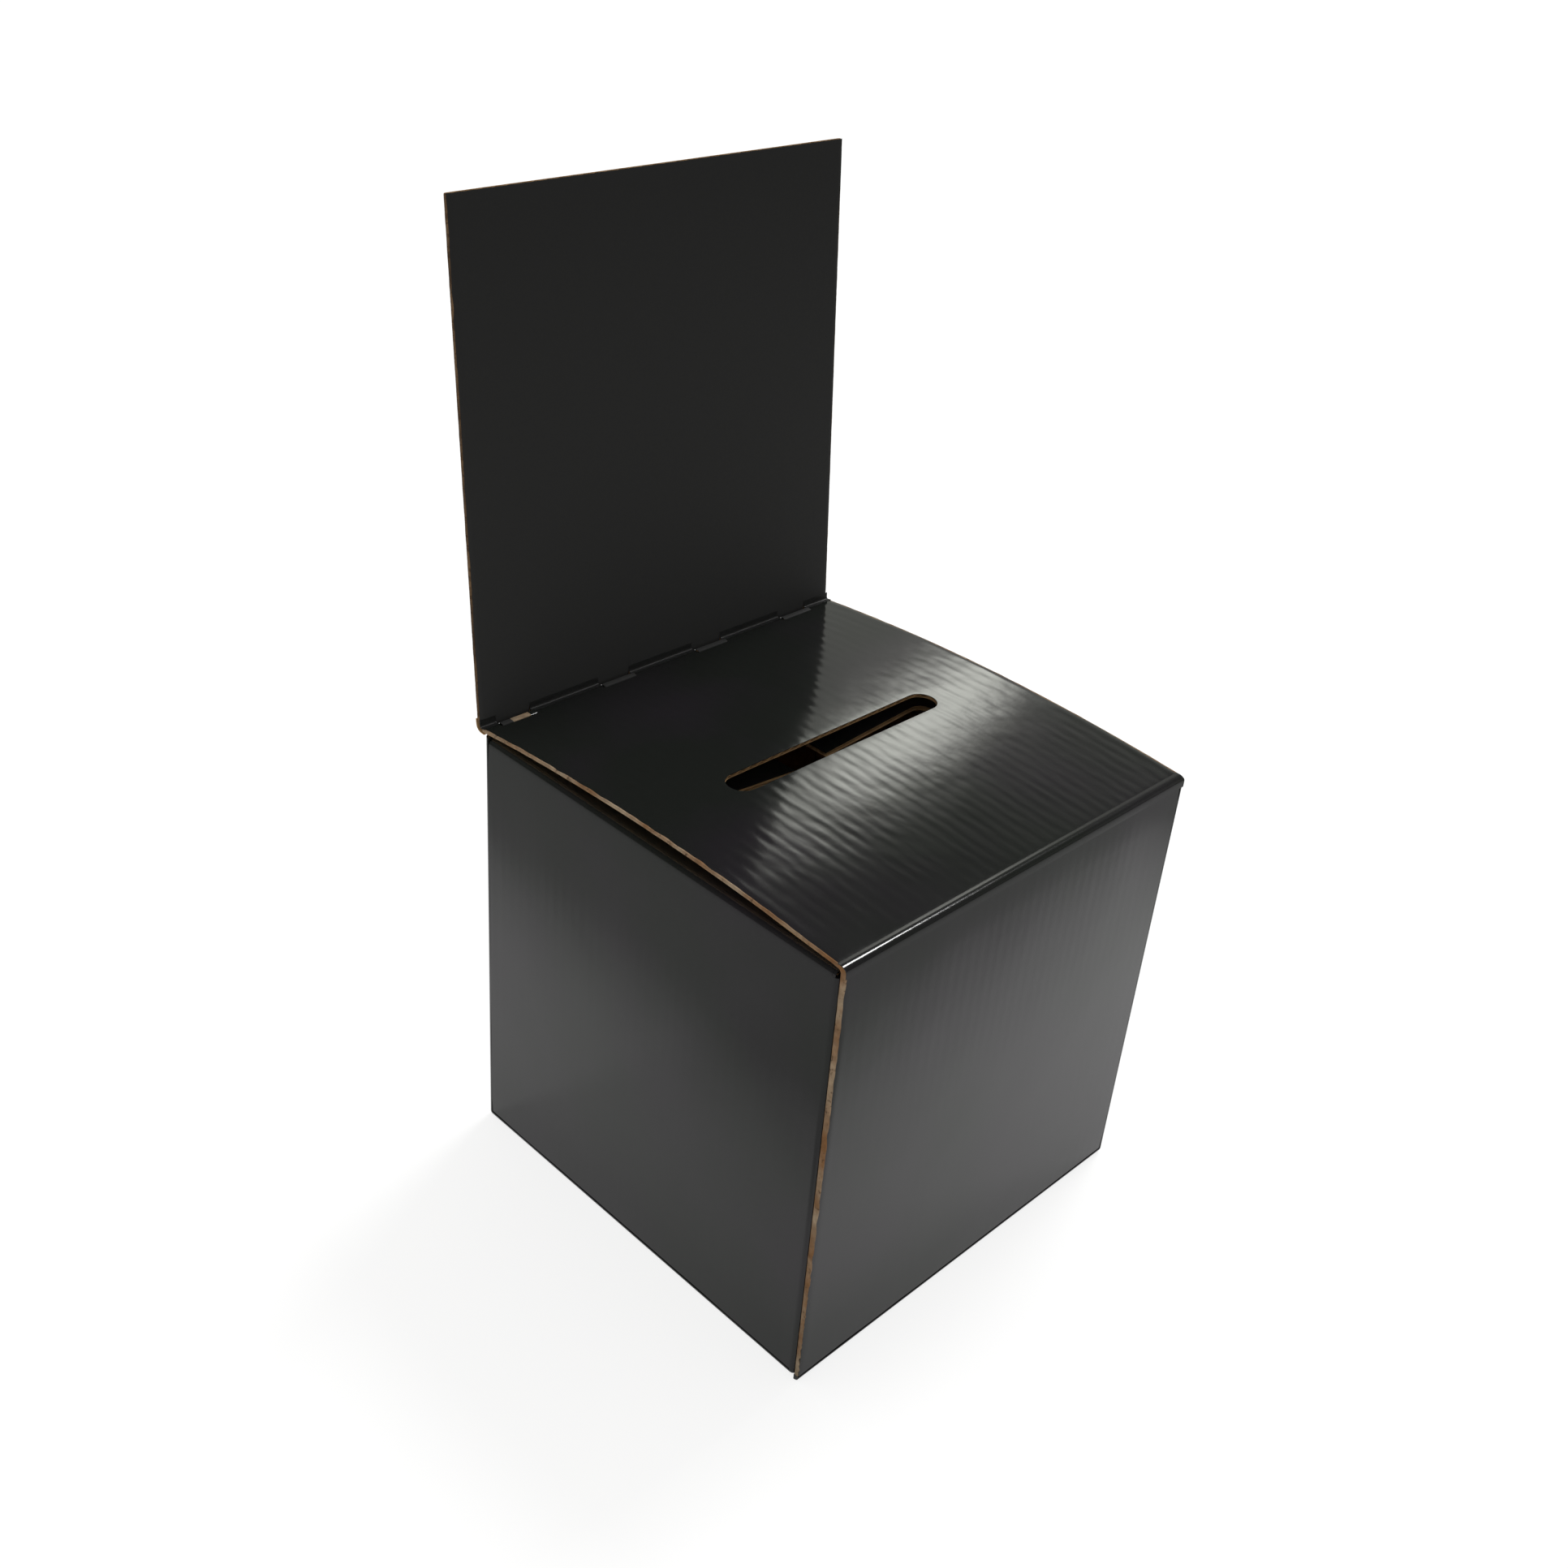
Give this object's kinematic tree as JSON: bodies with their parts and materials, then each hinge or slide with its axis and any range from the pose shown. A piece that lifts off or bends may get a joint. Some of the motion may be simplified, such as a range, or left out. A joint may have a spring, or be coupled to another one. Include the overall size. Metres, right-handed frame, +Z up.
{
  "type": "ballot box",
  "caption": "Cube-shaped folded corrugated board ballot box with a long rounded slot in its hinged lid, dust flaps inside and a tall plain header card at the back.",
  "frame": {"origin": "middle of the closed box's footprint, on the surface it stands on", "axes": "+Z up, the front wall faces -Y and the header stands at +Y, +X is to the right seen from the front"},
  "size_m": [0.2286, 0.2519, 0.4667],
  "materials": {
    "black_liner": "gloss",
    "crease_black": "satin",
    "kraft_liner": "matte",
    "fluting": "matte",
    "glue": "satin"
  },
  "bodies": {
    "box_body": {"back_bottom_flap_fluting": "fluting", "back_bottom_flap_inner_liner": "kraft_liner", "back_bottom_flap_outer_liner": "black_liner", "back_bottom_fold": "crease_black", "back_left_fold": "crease_black", "back_right_fold": "crease_black", "back_wall_fluting": "fluting", "back_wall_inner_liner": "kraft_liner", "back_wall_outer_liner": "black_liner", "bottom_tongue_fluting": "fluting", "bottom_tongue_inner_liner": "kraft_liner", "bottom_tongue_outer_liner": "black_liner", "front_bottom_flap_fluting": "fluting", "front_bottom_flap_inner_liner": "kraft_liner", "front_bottom_flap_outer_liner": "black_liner", "front_bottom_fold": "crease_black", "front_left_fold": "crease_black", "front_right_fold": "crease_black", "front_wall_fluting": "fluting", "front_wall_inner_liner": "kraft_liner", "front_wall_outer_liner": "black_liner", "glue_flap_fluting": "fluting", "glue_flap_inner_liner": "kraft_liner", "glue_flap_outer_liner": "black_liner", "left_bottom_flap_fluting": "fluting", "left_bottom_flap_inner_liner": "kraft_liner", "left_bottom_flap_outer_liner": "black_liner", "left_bottom_fold": "crease_black", "left_dust_flap_fold": "crease_black", "left_wall_fluting": "fluting", "left_wall_inner_liner": "kraft_liner", "left_wall_outer_liner": "black_liner", "lid_crease": "crease_black", "right_bottom_flap_fluting": "fluting", "right_bottom_flap_inner_liner": "kraft_liner", "right_bottom_flap_outer_liner": "black_liner", "right_bottom_fold": "crease_black", "right_dust_flap_fold": "crease_black", "right_wall_fluting": "fluting", "right_wall_inner_liner": "kraft_liner", "right_wall_outer_liner": "black_liner", "seam_glue": "glue"},
    "lid": {"lid_outer_liner": "black_liner", "lid_fluting": "fluting", "lid_inner_liner": "kraft_liner", "header_crease": "crease_black"},
    "header": {"header_outer_liner": "black_liner", "header_fluting": "fluting", "header_inner_liner": "kraft_liner"},
    "left_dust_flap": {"left_dust_flap_outer_liner": "black_liner", "left_dust_flap_fluting": "fluting", "left_dust_flap_inner_liner": "kraft_liner"},
    "right_dust_flap": {"right_dust_flap_outer_liner": "black_liner", "right_dust_flap_fluting": "fluting", "right_dust_flap_inner_liner": "kraft_liner"}
  },
  "joints": [
    {"name": "lid_hinge", "type": "hinge", "parent": "box_body", "child": "lid", "pos_m": [0, -0.1128, 0.2303], "axis": [1, 0, 0], "range_deg": [0, 110]},
    {"name": "header_hinge", "type": "hinge", "parent": "lid", "child": "header", "pos_m": [0, 0.1167, 0.2321], "axis": [1, 0, 0], "range_deg": [-85, 84]},
    {"name": "left_dust_flap_hinge", "type": "hinge", "parent": "box_body", "child": "left_dust_flap", "pos_m": [-0.111, 0, 0.2247], "axis": [0, 1, 0], "range_deg": [0, 80]},
    {"name": "right_dust_flap_hinge", "type": "hinge", "parent": "box_body", "child": "right_dust_flap", "pos_m": [0.111, 0, 0.2247], "axis": [0, -1, 0], "range_deg": [0, 80]}
  ]
}
